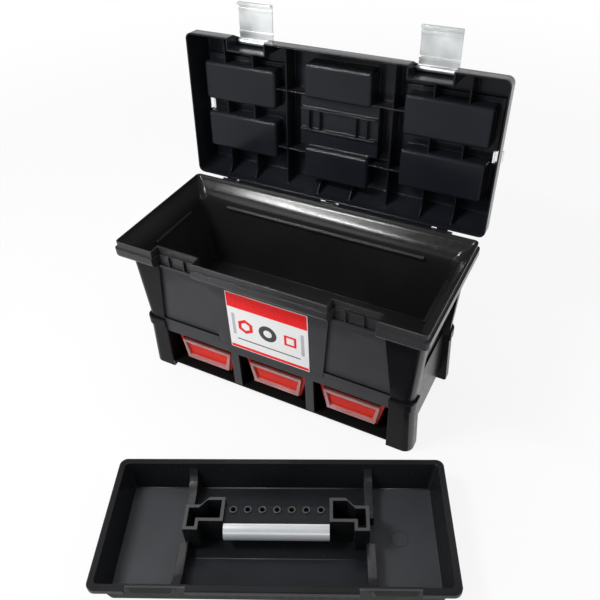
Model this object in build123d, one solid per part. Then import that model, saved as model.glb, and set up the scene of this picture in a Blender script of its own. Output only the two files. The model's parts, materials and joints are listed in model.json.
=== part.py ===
from build123d import *
import math
import os

# Portable tool box, shown open, with its tote tray lifted out and set down in front of it.
# Frame: X along the length, Y to the rear, Z up, origin on the floor under the middle of the box.
# Lengths are millimetres and angles are degrees.

# Shared allowances
overrun = 1.0  # every cut runs past its face by this much
run_gap = 0.4  # between pieces that slide or sit inside each other
pin_gap = 0.05  # radial clearance of a pin in its bore
hinge_side_gap = 0.5  # between hinge knuckles, along their pin

# Tub and its rim
rim_length = 551.0
rim_depth = 251.0
rim_height = 290.0
tub_wall = 3.0
tub_corner = 16.0
rim_corner = 8.0
lip_wall = 2.6
flange_drop = 12.0
flange_out = 3.0
flange_face = 11.0
bulge_height = 12.0
end_overhang = 7.5
side_overhang = 18.5
end_taper = 10.5
side_taper = 1.5
flare_height = 42.0
flare_height_shares = (0.0, 0.22, 0.42, 0.62, 0.80, 0.92, 1.0)
flare_spread_shares = (0.0, 0.05, 0.18, 0.46, 0.80, 0.97, 1.0)
bulge_steps = 5

# Panels on the tub's outside
panel_recess = 5.5
end_recess = 14.0
label_proud = 4.5
pillar_width_top = 62.5
pillar_width_low = 35.5
end_pillar_depth = 28.0
label_block_top = 228.0
label_block_low = 202.0

# Tray ledges and locating blocks inside the tub
ledge_depth = 5.0
ledge_height = 3.5
rear_ledge_length = 390.0
end_ledge_length = 110.0
rim_block_length = 10.0
rim_block_depth = 2.2
rim_block_height = 7.0
rim_block_pitch = 40.0

# Latch notches in the rim and the lid
latch_pitch = 320.0
notch_depth = 15.0
notch_width = 70.0
notch_splay = 4.0
catch_lift = 1.0  # catch ledge above the foot of the bulge
catch_ledge_depth = 5.5
catch_ledge_height = 4.0
catch_rib_pitch = 30.0
catch_rib_width = 2.0
catch_rib_depth = 4.5
catch_rib_height = 20.0

# Base frame under the tub
base_height = 112.0
foot_out_end = 6.0
foot_out_side = 3.5
foot_round = 2.5
neck_in_end = 4.0
neck_in_side = 1.5
boot_width = 44.0
boot_depth = 30.0
collar_lap = 6.0
collar_height = 18.0
collar_out = 2.6
collar_round = 1.2
floor_lift = 9.5
base_wall = 3.0
apron_thickness = 4.0
apron_lap = 10.0
apron_low = 92.0
post_pitch = 148.0
post_width = 16.0
post_depth = 7.0
rail_height = 9.0
rail_width = 8.0
rail_setback = 12.0  # runners behind the bin's front
rail_place_share = 0.25  # of the drawer's width, from its middle
base_screw_pitch_x = 472.0
base_screw_pitch_y = 182.0
screw_radius = 2.0
screw_head_radius = 4.5
screw_head_height = 2.5
screw_length = 12.0
boss_radius = 5.0

# Front label
label_width = 153.0
label_low_gap = 0.5  # above the foot of the tub
label_top_gap = 17.5  # below the bulge
label_thickness = 0.5
label_corner = 1.5

# Small-parts drawers
drawer_pitch = 147.0
drawer_width = 122.0
drawer_low_width = 96.0
drawer_height = 54.0
drawer_length = 170.0
drawer_wall = 2.0
drawer_setback = 16.5  # bin front behind the face of the apron
frame_top_width = 105.0
frame_low_width = 91.0
frame_height = 42.0
frame_lift = 3.5
frame_bar = 6.0
frame_thickness = 4.5
frame_shelf = 1.5

# Lid
lid_overhang = 1.0
lid_rest_gap = 0.3  # closed lid above the tub's flange
lid_wall = 2.4
lid_corner = 11.0
skirt_height = 22.0
lid_height = 56.0
lid_slope_side = 15.0
lid_slope_end = 8.5
lid_open_angle = 93.8
box_drop = 19.0  # rim plane of the lid to the undersides of the hanging boxes
end_box_length = 142.0
end_box_depth = 66.5
end_box_gap = 24.5
end_box_inner_x = 117.0
box_wall = 2.2
box_round = 2.0
mid_box_length = 120.0
mid_box_depth = 57.0
mid_box_inset = 28.0  # rear edge of the lid to the rear middle box
rib_width = 2.0
rib_drop = 24.0
end_rib_first = 162.0
end_rib_second = 218.0
long_rib_x = 97.0
cross_rib_rear = 12.0  # from the front of the rear middle box
cross_rib_front = 4.0  # from the rear of the front middle box
gusset_x = 31.0
gusset_gap = 0.6  # gussets above the tub's lip
gusset_length = 17.0

# Lid hinge
hinge_back = 8.3
hinge_up = 1.9
hinge_pitch = 208.0
hinge_width = 35.0
knuckle_radius = 5.0
hinge_pin_radius = 2.0
hinge_ear_width = 8.0
hinge_web = 5.0
hinge_strip = 6.0  # strip along the lid's rear edge between the hinges

# Covers of the lid's organisers
cover_thickness = 2.5
cover_seat = 6.0
cover_margin = 5.0
cover_ridge = 3.0
cover_ridge_width = 3.0
cover_axis_in = 4.4
cover_axis_drop = 3.2
cover_pin_radius = 2.0
cover_pin_length = 2.0
cover_tab_back = 9.0  # tab behind the middle of the lid
cover_tab_reach = 11.0  # thumb edge past the seat, through a notch in the lid's end
cover_tab_width = 18.0
cover_tab_drop = 10.0
cover_tab_thickness = 2.0
cover_slot_gap = 1.2
cover_edge_gap = 0.6

# Folding carrying handle and its well
well_length = 140.0
well_depth = 84.0
well_drop = 22.0
handle_length = 132.0
handle_arm_width = 16.0
handle_arm_thickness = 13.0
handle_reach = 50.0
handle_grip_depth = 24.0
handle_grip_thickness = 17.0
handle_axis_forward = 18.0  # handle's axle ahead of the well's rear wall
handle_pin_radius = 3.0
handle_pin_length = 2.2
handle_pin_end_gap = 0.5
handle_sink = 1.0  # grip below the top of the lid
handle_round_share = 0.4  # edge radius of the grip, of its thickness
well_rib_drop = 8.0  # ribs below the floor of the well
well_rib_inner = 34.0
well_rib_outer = 54.0
well_rib_front = 17.7  # front cross rib behind the well's front wall
well_rib_rear = 29.3  # rear cross rib ahead of the well's rear wall

# Aluminium latches
latch_width = 64.0
latch_axis_in = 12.5
latch_axis_up = 36.0
latch_barrel_radius = 4.5
latch_pin_radius = 2.0
latch_plate = 2.3
latch_hook_depth = 5.7
latch_hook_height = 4.0
latch_catch_gap = 0.8
latch_step = 13.0
latch_bead_depth = 1.5
latch_bead_height = 4.5
latch_recess_top = 6.6  # latch axle to the roof of its recess

# Tote tray, standing on the floor in front
tray_x = 140.0
tray_y = -342.4
tray_yaw = 25.6
tray_length = 511.0
tray_depth = 216.6
tray_height = 55.0
tray_wall = 2.5
tray_floor = 3.0
tray_flange = 7.0
tray_flange_height = 9.0
tray_taper = 9.5
tray_corner = 12.0
tray_floor_corner = 9.0
tray_setback = 8.0
tray_setback_width = 84.0
tray_tab_x = 166.5
tray_tab_width = 63.0
tray_tab_height = 22.0
tray_tab_corner = 6.0
ridge_x = 138.0
ridge_width = 13.0
ridge_height = 20.0
ridge_rise = 24.0
ridge_sweep = 32.0
ridge_bend_share = 0.55  # of the sweep, where the ridge turns up
ridge_bend_rise_share = 0.25  # of the rise, at that place

# Tray handle: two hollow end cups, a bit rack between them and a metal grip
cup_wall = 5.0
cup_height = 57.0
cup_floor = 12.0
cup_inner_x = 78.0
cup_step_x = 114.0
cup_bevel = 12.0
cup_outer_x = 136.0
cup_rear_y = 37.0
cup_front_y = -3.0
cup_rear_step = 13.0
cup_front_step = 14.0
rack_rear_y = 27.0
rack_top = 50.0
rack_thickness = 13.0
rack_hole_radius = 3.6
rack_hole_pitch = 21.8
rack_holes = 7
rack_hole_y = 19.5
grip_radius = 15.5
grip_plate = 1.6

# Worked-out places: tub
lip_x = rim_length / 2
lip_y = rim_depth / 2
flange_x = lip_x + flange_out
flange_y = lip_y + flange_out
flange_top = rim_height - flange_drop
flange_low = flange_top - flange_face
bulge_low = flange_low - bulge_height
top_x = lip_x - end_overhang
top_y = lip_y - side_overhang
low_x = top_x - end_taper
low_y = top_y - side_taper
panel_y = low_y - panel_recess
label_y = panel_y + label_proud
label_low = base_height + label_low_gap
label_high = bulge_low - label_top_gap
tub_floor = base_height + tub_wall
end_half = top_y - end_pillar_depth
flare_low = rim_height - flare_height

# Worked-out places: lid, drawn closed
lid_x = flange_x + lid_overhang
lid_y = flange_y + lid_overhang
lid_low = flange_top + lid_rest_gap
lid_top = lid_low + lid_height
skirt_gap = lid_y - lid_wall - lip_y
box_low = lid_low + box_drop
rib_low = lid_low + rib_drop
hinge_y = lid_y + hinge_back
hinge_z = flange_top + hinge_up
notch_x = latch_pitch / 2
notch_y = lip_y - notch_depth
lip_notch_y = notch_y - lid_wall - skirt_gap
lip_notch_half = notch_width / 2 + lid_wall + skirt_gap
latch_y = -(lid_y - latch_axis_in)
latch_z = flange_top + latch_axis_up
catch_low = bulge_low + catch_lift
end_box_outer_x = end_box_inner_x + end_box_length
cover_low = lid_top - cover_seat
cover_half_y = end_box_depth + end_box_gap / 2 + cover_margin
cover_inner_x = end_box_inner_x - cover_margin
cover_outer_x = end_box_outer_x + cover_margin + cover_slot_gap
cover_axis_x = cover_inner_x + cover_axis_in
cover_axis_z = lid_top - cover_axis_drop
mid_box_rear_y = lid_y - mid_box_inset
mid_box_front_y = -mid_box_rear_y
well_rear_y = mid_box_rear_y - mid_box_depth - box_wall
well_front_y = well_rear_y - well_depth
well_low = lid_top - well_drop
handle_y = well_rear_y - handle_axis_forward
handle_z = lid_top - handle_grip_thickness / 2 - handle_sink

# Worked-out places: base and drawers
foot_x = low_x + foot_out_end
foot_y = low_y + foot_out_side
collar_top = base_height + collar_lap
collar_low = collar_top - collar_height
boot_x = foot_x - boot_width
boot_y = foot_y - boot_depth
floor_top = floor_lift + base_wall
apron_y = panel_y + run_gap
apron_face = apron_y + apron_thickness
apron_top = base_height + apron_lap
seam_z = base_height - run_gap
screw_seat = base_height - screw_length
drawer_low = floor_top + rail_height + run_gap
drawer_front = -(label_y - drawer_setback)


def block(x0, x1, y0, y1, z0, z1):
    return Pos((x0 + x1) / 2, (y0 + y1) / 2, (z0 + z1) / 2) * Box(x1 - x0, y1 - y0, z1 - z0)


def stack(sections):
    """Skin through rounded rectangles, each (height, half length, half depth, corner radius)."""
    return loft([Pos(0, 0, z) * RectangleRounded(2 * hx, 2 * hy, r) for z, hx, hy, r in sections], ruled=True)


def rod_x(radius, x0, x1, y, z):
    return Pos((x0 + x1) / 2, y, z) * Rot(0, 90, 0) * Cylinder(radius, x1 - x0)


def rod_y(radius, y0, y1, x, z):
    return Pos(x, (y0 + y1) / 2, z) * Rot(90, 0, 0) * Cylinder(radius, y1 - y0)


def rod_z(radius, z0, z1, x, y):
    return Pos(x, y, (z0 + z1) / 2) * Cylinder(radius, z1 - z0)


def prism_x(points, x0, x1):
    """Outline in Y and Z, drawn out along X."""
    return extrude(Plane.YZ.offset(x0) * make_face(Polyline(*points, close=True)), x1 - x0, dir=(1, 0, 0))


def prism_y(points, y0, y1):
    """Outline in X and Z, drawn out along Y."""
    return extrude(Plane.XZ.offset(-y0) * make_face(Polyline(*points, close=True)), y1 - y0, dir=(0, 1, 0))


def prism_z(points, z0, z1):
    """Outline in X and Y, drawn out along Z."""
    return extrude(Plane.XY.offset(z0) * make_face(Polyline(*points, close=True)), z1 - z0, dir=(0, 0, 1))


def both_sides(part):
    """The part and its mirror image across the middle of the length."""
    return part + mirror(part, about=Plane.YZ)


def between(share, first, last):
    return first + (last - first) * share


def tub_outside(end_inset):
    """Tub below its lip: tapered body, rounded bulge and upright flange."""
    sections = [(base_height, low_x - end_inset, low_y, tub_corner)]
    for step in range(bulge_steps + 1):
        turn = math.radians(90 * step / bulge_steps)
        height = between(1 - math.cos(turn), bulge_low, flange_low)
        half_x = between(math.sin(turn), top_x - end_inset, flange_x)
        half_y = between(math.sin(turn), top_y, flange_y)
        radius = between(math.sin(turn), tub_corner, rim_corner)
        sections.append((height, half_x, half_y, radius))
    sections.append((flange_top, flange_x, flange_y, rim_corner))
    return stack(sections)


def tub_hollow():
    """Inside of the tub: tapered walls that flare out to the lip."""
    inner_low_x = low_x - end_recess - tub_wall
    inner_top_x = top_x - end_recess - tub_wall
    inner_y = panel_y - tub_wall
    radius = tub_corner - tub_wall
    lip_radius = rim_corner - lip_wall
    sections = [(tub_floor, inner_low_x, inner_y - side_taper, radius)]
    for height_share, spread_share in zip(flare_height_shares, flare_spread_shares):
        height = between(height_share, flare_low, rim_height)
        half_x = between(spread_share, inner_top_x, lip_x - lip_wall)
        half_y = between(spread_share, inner_y, lip_y - lip_wall)
        sections.append((height, half_x, half_y, between(spread_share, radius, lip_radius)))
    sections.append((rim_height + overrun, lip_x - lip_wall, lip_y - lip_wall, lip_radius))
    hollow = stack(sections)
    boss_half = lip_notch_half + lip_wall
    boss_y = lip_notch_y - lip_wall
    boss = block(
        notch_x - boss_half, notch_x + boss_half, -lid_y, -boss_y, flare_low, rim_height + 2 * overrun
    )
    return hollow - both_sides(boss)


def panel_span(height):
    """Inner and outer edge of a recessed front panel of the tub at a height."""
    share = (height - base_height) / (bulge_low - base_height)
    inner = between(share, label_block_low / 2, label_block_top / 2)
    outer = between(share, low_x - pillar_width_low, top_x - pillar_width_top)
    return inner, outer


def side_panels():
    """Material taken off the front of the tub beside and over the label block."""
    low = base_height - overrun
    inner_low, outer_low = panel_span(low)
    inner_top, outer_top = panel_span(bulge_low)
    right = [(inner_low, low), (outer_low, low), (outer_top, bulge_low), (inner_top, bulge_low)]
    middle = [(-inner_low, low), (inner_low, low), (inner_top, bulge_low), (-inner_top, bulge_low)]
    panels = both_sides(prism_y(right, -lid_y, -panel_y))
    return panels + prism_y(middle, -lid_y, -label_y)


def latch_notches():
    """Room for the latches: a splayed notch below the flange line, a wider one through the lip."""
    half = notch_width / 2
    mouth = half + notch_splay
    outline = [
        (notch_x - mouth, -lid_y), (notch_x + mouth, -lid_y),
        (notch_x + half, -notch_y), (notch_x - half, -notch_y),
    ]
    low_notch = prism_z(outline, bulge_low - overrun, flange_top + overrun)
    lip_notch = block(
        notch_x - lip_notch_half, notch_x + lip_notch_half, -lid_y, -lip_notch_y,
        flange_top, rim_height + overrun,
    )
    return both_sides(low_notch + lip_notch)


def latch_catches():
    """Ledge that the latch hooks under, and two guide ribs above it."""
    half = notch_width / 2 - run_gap
    catch = block(
        notch_x - half, notch_x + half, -notch_y - catch_ledge_depth, -notch_y + overrun,
        catch_low, catch_low + catch_ledge_height,
    )
    rib_base = catch_low + catch_ledge_height - overrun
    rib_top = min(rib_base + catch_rib_height, flange_top)
    for side in (-1, 1):
        middle = notch_x + side * catch_rib_pitch / 2
        catch += block(
            middle - catch_rib_width / 2, middle + catch_rib_width / 2,
            -notch_y - catch_rib_depth, -notch_y + overrun, rib_base, rib_top,
        )
    return both_sides(catch)


def hinge_places():
    return (-hinge_pitch, 0, hinge_pitch)


def hinge_ears(middle):
    """Two ears on the rear of the tub's flange that carry one hinge pin."""
    ears = []
    for side in (-1, 1):
        outer = middle + side * hinge_width / 2
        inner = outer - side * hinge_ear_width
        x0 = min(outer, inner)
        x1 = max(outer, inner)
        bracket = [
            (flange_y - overrun, flange_low), (flange_y, flange_low), (hinge_y + knuckle_radius, hinge_z),
            (hinge_y, hinge_z), (flange_y, flange_top), (flange_y - overrun, flange_top),
        ]
        ears.append(prism_x(bracket, x0, x1) + rod_x(knuckle_radius, x0, x1, hinge_y, hinge_z))
    bore = rod_x(
        hinge_pin_radius + pin_gap, middle - hinge_width, middle + hinge_width, hinge_y, hinge_z
    )
    return ears[0] + ears[1] - bore


def screw_places():
    half_x = base_screw_pitch_x / 2
    half_y = base_screw_pitch_y / 2
    return [(x, y) for x in (-half_x, half_x) for y in (-half_y, half_y)]


def make_tub():
    lip = stack([
        (flange_low, lip_x, lip_y, rim_corner), (rim_height, lip_x, lip_y, rim_corner),
    ])
    tub = tub_outside(0) + lip
    front = side_panels()
    tub -= front
    tub -= mirror(front, about=Plane.XZ)
    end_cut = block(0, lid_x, -end_half, end_half, base_height - overrun, bulge_low)
    tub -= both_sides(end_cut - tub_outside(end_recess))
    tub -= tub_hollow()
    tub -= latch_notches()
    tub += latch_catches()
    inner_y = panel_y - tub_wall
    inner_x = top_x - end_recess - tub_wall
    ledge_top = flare_low + ledge_height
    half_rear = rear_ledge_length / 2
    half_end = end_ledge_length / 2
    tub += block(-half_rear, half_rear, inner_y - ledge_depth, inner_y + overrun, flare_low, ledge_top)
    tub += both_sides(
        block(inner_x - ledge_depth, inner_x + overrun, -half_end, half_end, flare_low, ledge_top)
    )
    lip_inside = lip_y - lip_wall
    half_pitch = rim_block_pitch / 2
    tub += both_sides(block(
        half_pitch - rim_block_length / 2, half_pitch + rim_block_length / 2,
        -lip_inside - lip_wall / 2, -lip_inside + rim_block_depth, rim_height - rim_block_height, rim_height,
    ))
    for middle in hinge_places():
        tub += hinge_ears(middle)
    for x, y in screw_places():
        tub += rod_z(boss_radius, tub_floor - overrun, base_height + screw_length, x, y)
        bore_top = base_height + screw_length - tub_wall
        tub -= rod_z(screw_radius + pin_gap, base_height - overrun, bore_top, x, y)
    return tub


def four_corners(inset):
    """Space over the four boots, drawn in by inset from their inner sides."""
    corners = block(boot_x + inset, lid_x, boot_y + inset, lid_y, -overrun, lid_low)
    return both_sides(corners + mirror(corners, about=Plane.XZ))


def boot_hollow():
    """Inside of the boots, open below and closed under the tub."""
    half_x = foot_x - foot_round - base_wall
    half_y = foot_y - foot_round - base_wall
    radius = tub_corner - foot_round - base_wall
    return stack([(-overrun, half_x, half_y, radius), (base_height - base_wall, half_x, half_y, radius)])


def socket():
    """Room for the foot of the tub inside the collars."""
    top = collar_top + overrun
    taper_share = (top - base_height) / (bulge_low - base_height)
    half_x = low_x + run_gap
    half_y = low_y + run_gap
    return stack([
        (base_height, half_x, half_y, tub_corner),
        (top, half_x + end_taper * taper_share, half_y + side_taper * taper_share, tub_corner),
    ])


def make_base():
    """Four boots with collars, joined by aprons, posts, partitions and a floor."""
    neck_x = foot_x - neck_in_end
    neck_y = foot_y - neck_in_side
    boots = stack([
        (0, foot_x - foot_round, foot_y - foot_round, tub_corner - foot_round),
        (foot_round, foot_x, foot_y, tub_corner),
        (collar_top, neck_x, neck_y, tub_corner),
    ])
    rim_x = neck_x + collar_out
    rim_y = neck_y + collar_out
    boots += stack([
        (collar_low, neck_x, neck_y, tub_corner),
        (collar_low + collar_round, rim_x, rim_y, tub_corner),
        (collar_top - collar_round, rim_x, rim_y, tub_corner),
        (collar_top, rim_x - collar_round, rim_y - collar_round, tub_corner - collar_round),
    ])
    base = (boots & four_corners(0)) - socket() - (boot_hollow() & four_corners(base_wall))
    apron_x = boot_x + base_wall
    inner = panel_span(apron_top)[0] + run_gap
    outer = panel_span(apron_top)[1] - run_gap
    laps = both_sides(block(inner, outer, -apron_face, -apron_y, seam_z - overrun, apron_top))
    front = block(-apron_x, apron_x, -apron_face, -apron_y, apron_low, seam_z) + laps
    for side in (-1, 1):
        middle = side * post_pitch / 2
        post_x0 = middle - post_width / 2
        post_x1 = middle + post_width / 2
        front += block(
            post_x0, post_x1, -apron_face, -apron_face + post_depth, floor_lift, apron_low + overrun
        )
        front += block(
            middle - base_wall / 2, middle + base_wall / 2, -apron_face + post_depth / 2, apron_y,
            floor_lift, base_height,
        )
    base += front
    base += block(-apron_x, apron_x, apron_y, apron_face, floor_lift, seam_z) + mirror(laps, about=Plane.XZ)
    base += block(-apron_x, apron_x, -apron_face, apron_face, floor_lift, floor_top)
    end_inner = low_x - end_recess + run_gap + end_taper * apron_lap / (bulge_low - base_height)
    base += block(-end_inner, end_inner, -boot_y, boot_y, floor_lift, floor_top)
    end_outer = end_inner + base_wall
    end_side = boot_y + overrun
    lap_side = end_half - run_gap
    end_panel = block(end_inner, end_outer, -end_side, end_side, floor_lift, seam_z)
    end_panel += block(end_inner, end_outer, -lap_side, lap_side, seam_z - overrun, collar_top)
    base += both_sides(end_panel)
    for middle in (-drawer_pitch, 0, drawer_pitch):
        for side in (-1, 1):
            rail = middle + side * drawer_width * rail_place_share
            base += block(
                rail - rail_width / 2, rail + rail_width / 2, drawer_front + rail_setback, apron_y,
                floor_top - overrun, floor_top + rail_height,
            )
    for x, y in screw_places():
        base += rod_z(boss_radius, screw_seat, base_height, x, y)
        base -= rod_z(screw_radius + pin_gap, screw_seat - overrun, base_height + overrun, x, y)
    return base


def make_screws():
    screws = []
    for x, y in screw_places():
        tip = base_height + screw_length - tub_wall - overrun
        screw = rod_z(screw_radius, screw_seat, tip, x, y)
        screws.append(screw + rod_z(screw_head_radius, screw_seat - screw_head_height, screw_seat, x, y))
    return Compound(children=screws)


def make_label():
    half = label_width / 2
    plate = block(-half, half, -label_y - label_thickness, -label_y, label_low, label_high)
    return fillet(plate.edges().filter_by(Axis.Y), label_corner)


def make_hinge_pins():
    pins = []
    for middle in hinge_places():
        pins.append(rod_x(
            hinge_pin_radius, middle - hinge_width / 2, middle + hinge_width / 2, hinge_y, hinge_z
        ))
    return Compound(children=pins)


def bin_outline(middle, inset):
    """Tapered end view of a drawer bin, drawn in by inset at its sides and floor."""
    low = drawer_low + inset
    top = drawer_low + drawer_height
    low_half = drawer_low_width / 2 - inset
    top_half = drawer_width / 2 - inset
    return [
        (middle - low_half, low), (middle + low_half, low),
        (middle + top_half, top), (middle - top_half, top),
    ]


def make_drawer_bin(middle):
    """Open bin with tapered sides, its front cut down to the top of the label holder."""
    rear = drawer_front + drawer_length
    top = drawer_low + drawer_height
    bin_body = prism_y(bin_outline(middle, 0), drawer_front, rear)
    bin_body -= prism_y(bin_outline(middle, drawer_wall), drawer_front + drawer_wall, rear - drawer_wall)
    half = frame_top_width / 2
    return bin_body - block(
        middle - half, middle + half, drawer_front - overrun, drawer_front + drawer_wall + overrun,
        drawer_low + frame_lift + frame_height, top + overrun,
    )


def frame_outline(middle, inset):
    low = drawer_low + frame_lift
    top_half = frame_top_width / 2 - inset
    low_half = frame_low_width / 2 - inset
    return [
        (middle - low_half, low + inset), (middle + low_half, low + inset),
        (middle + top_half, low + frame_height - inset), (middle - top_half, low + frame_height - inset),
    ]


def make_drawer_frame(middle):
    """Clear label holder: a tapered frame with a shelf along its foot."""
    low = drawer_low + frame_lift
    front = drawer_front - frame_thickness
    frame = prism_y(frame_outline(middle, 0), front, drawer_front)
    frame -= prism_y(frame_outline(middle, frame_bar), front - overrun, drawer_front + overrun)
    half = frame_low_width / 2
    return frame + block(middle - half, middle + half, front - frame_shelf, front, low, low + frame_bar / 2)


def lid_outside():
    return stack([
        (lid_low, lid_x, lid_y, lid_corner),
        (lid_low + skirt_height, lid_x, lid_y, lid_corner),
        (lid_top, lid_x - lid_slope_end, lid_y - lid_slope_side, lid_corner),
    ])


def lid_inside():
    radius = lid_corner - lid_wall
    roof = lid_top - lid_wall
    slope_share = (lid_height - lid_wall - skirt_height) / (lid_height - skirt_height)
    roof_x = lid_x - lid_wall - lid_slope_end * slope_share
    roof_y = lid_y - lid_wall - lid_slope_side * slope_share
    return stack([
        (lid_low - overrun, lid_x - lid_wall, lid_y - lid_wall, radius),
        (lid_low + skirt_height, lid_x - lid_wall, lid_y - lid_wall, radius),
        (roof, roof_x, roof_y, radius),
    ])


def end_box_spans():
    """Front and rear organiser boxes on one side of the lid, as spans of Y."""
    near = end_box_gap / 2
    return ((-near - end_box_depth, -near), (near, near + end_box_depth))


def rounded_box(lump):
    """A hanging box with its upright and lower edges rounded."""
    return fillet(lump.edges().filter_by(Axis.Z) + lump.faces().sort_by(Axis.Z)[0].edges(), box_round)


def lid_boxes():
    """Hanging boxes and the seats of the covers, as solid lumps under the lid's roof."""
    seat = block(
        cover_inner_x - box_wall, cover_outer_x + box_wall, -cover_half_y - box_wall, cover_half_y + box_wall,
        cover_low - box_wall, lid_top,
    )
    for y0, y1 in end_box_spans():
        lump = block(end_box_inner_x, end_box_outer_x, y0, y1, box_low, lid_top)
        seat += rounded_box(lump)
    lumps = both_sides(seat)
    half = mid_box_length / 2
    for y0 in (mid_box_rear_y - mid_box_depth, mid_box_front_y):
        lump = block(-half, half, y0, y0 + mid_box_depth, box_low, lid_top)
        lumps += rounded_box(lump)
    well_half = well_length / 2 + box_wall
    lumps += block(
        -well_half, well_half, well_front_y - box_wall, well_rear_y + box_wall, well_low - lid_wall, lid_top
    )
    return lumps


def lid_pockets():
    """Everything cut into the lid from above."""
    seat = block(
        cover_inner_x, cover_outer_x, -cover_half_y, cover_half_y, cover_low, lid_top + overrun
    )
    for y0, y1 in end_box_spans():
        seat += block(
            end_box_inner_x + box_wall, end_box_outer_x - box_wall, y0 + box_wall, y1 - box_wall,
            box_low + box_wall, lid_top,
        )
    tab_half = cover_tab_width / 2 + cover_slot_gap
    seat += block(
        end_box_outer_x + box_wall, lid_x + overrun, cover_tab_back - tab_half, cover_tab_back + tab_half,
        cover_low - box_wall - overrun, lid_top + overrun,
    )
    pockets = both_sides(seat)
    half = mid_box_length / 2 - box_wall
    for y0 in (mid_box_rear_y - mid_box_depth, mid_box_front_y):
        pockets += block(
            -half, half, y0 + box_wall, y0 + mid_box_depth - box_wall, box_low + box_wall, lid_top + overrun
        )
    well_half = well_length / 2
    pockets += block(-well_half, well_half, well_front_y, well_rear_y, well_low, lid_top + overrun)
    return pockets


def well_ribs():
    """Ribs under the floor of the handle's well."""
    roof = well_low - lid_wall / 2
    low = well_low - lid_wall - well_rib_drop
    front = well_front_y + well_rib_front
    rear = well_rear_y - well_rib_rear
    half = rib_width / 2
    ribs = Part()
    for x in (well_rib_inner, well_rib_outer):
        ribs += block(x - half, x + half, front, rear, low, roof)
    for y in (front, rear):
        ribs += block(0, well_length / 2, y - half, y + half, low, roof)
    return both_sides(ribs)


def lid_ribs():
    """Thin stiffening ribs under the roof, before they are trimmed to the lid's outside."""
    roof = lid_top - lid_wall / 2
    ribs = block(
        long_rib_x - rib_width / 2, long_rib_x + rib_width / 2, -lid_y, lid_y, rib_low, roof
    )
    for x in (end_rib_first, end_rib_second):
        ribs += block(x - rib_width / 2, x + rib_width / 2, -lid_y, lid_y, rib_low, roof)
    rear_rib = mid_box_rear_y - mid_box_depth + cross_rib_rear
    front_rib = mid_box_front_y + mid_box_depth - cross_rib_front
    for y in (rear_rib, front_rib):
        ribs += block(0, end_box_inner_x + box_wall, y - rib_width / 2, y + rib_width / 2, rib_low, roof)
    rear = lid_y - lid_wall / 2
    gusset = [
        (rear, rim_height + gusset_gap), (rear, roof), (rear - gusset_length, roof),
        (rear - gusset_length, rib_low),
    ]
    for x in (gusset_x, end_rib_first, end_rib_second):
        ribs += prism_x(gusset, x - rib_width / 2, x + rib_width / 2)
    return both_sides(ribs)


def lid_latch_recess():
    half = notch_width / 2
    return block(
        notch_x - half, notch_x + half, -lid_y - overrun, -notch_y,
        lid_low - overrun, latch_z + latch_recess_top,
    )


def lid_knuckle(middle):
    half = hinge_width / 2 - hinge_ear_width - hinge_side_gap
    arm = [
        (lid_y - lid_wall / 2, hinge_z), (hinge_y, hinge_z), (hinge_y + knuckle_radius, hinge_z),
        (lid_y, hinge_z + hinge_back + hinge_web), (lid_y - lid_wall / 2, hinge_z + hinge_back + hinge_web),
    ]
    knuckle = prism_x(arm, middle - half, middle + half)
    knuckle += rod_x(knuckle_radius, middle - half, middle + half, hinge_y, hinge_z)
    relief = block(
        middle - half - overrun, middle + half + overrun, flange_y - overrun, lid_y - lid_wall / 2,
        lid_low - knuckle_radius, hinge_z,
    )
    bore = rod_x(hinge_pin_radius + pin_gap, middle - hinge_width, middle + hinge_width, hinge_y, hinge_z)
    return knuckle - relief - bore


def hinge_strips():
    """Strips along the lid's rear edge between the hinges."""
    near = hinge_width / 2 + hinge_side_gap
    return both_sides(block(
        near, hinge_pitch - near, lid_y - lid_wall / 2, lid_y + hinge_strip, lid_low, lid_low + lid_wall
    ))


def make_lid():
    outside = lid_outside()
    boss_half = notch_width / 2 + lid_wall
    boss = block(
        notch_x - boss_half, notch_x + boss_half, -lid_y, -notch_y + lid_wall, lid_low, lid_top
    )
    inner = lid_boxes() + lid_ribs() + well_ribs() + both_sides(boss)
    lid = (outside - lid_inside()) + (inner & outside)
    lid -= lid_pockets()
    lid -= both_sides(lid_latch_recess())
    pin_end = notch_width / 2 + lid_wall + overrun
    pin_bore = latch_pin_radius + pin_gap
    lid -= both_sides(rod_x(pin_bore, notch_x - pin_end, notch_x + pin_end, latch_y, latch_z))
    hole_end = cover_half_y + cover_pin_length
    lid -= both_sides(rod_y(cover_pin_radius + pin_gap, -hole_end, hole_end, cover_axis_x, cover_axis_z))
    axle_end = well_length / 2 + handle_pin_length
    lid -= rod_x(handle_pin_radius + pin_gap, -axle_end, axle_end, handle_y, handle_z)
    for middle in hinge_places():
        lid += lid_knuckle(middle)
    return lid + hinge_strips()


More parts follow.
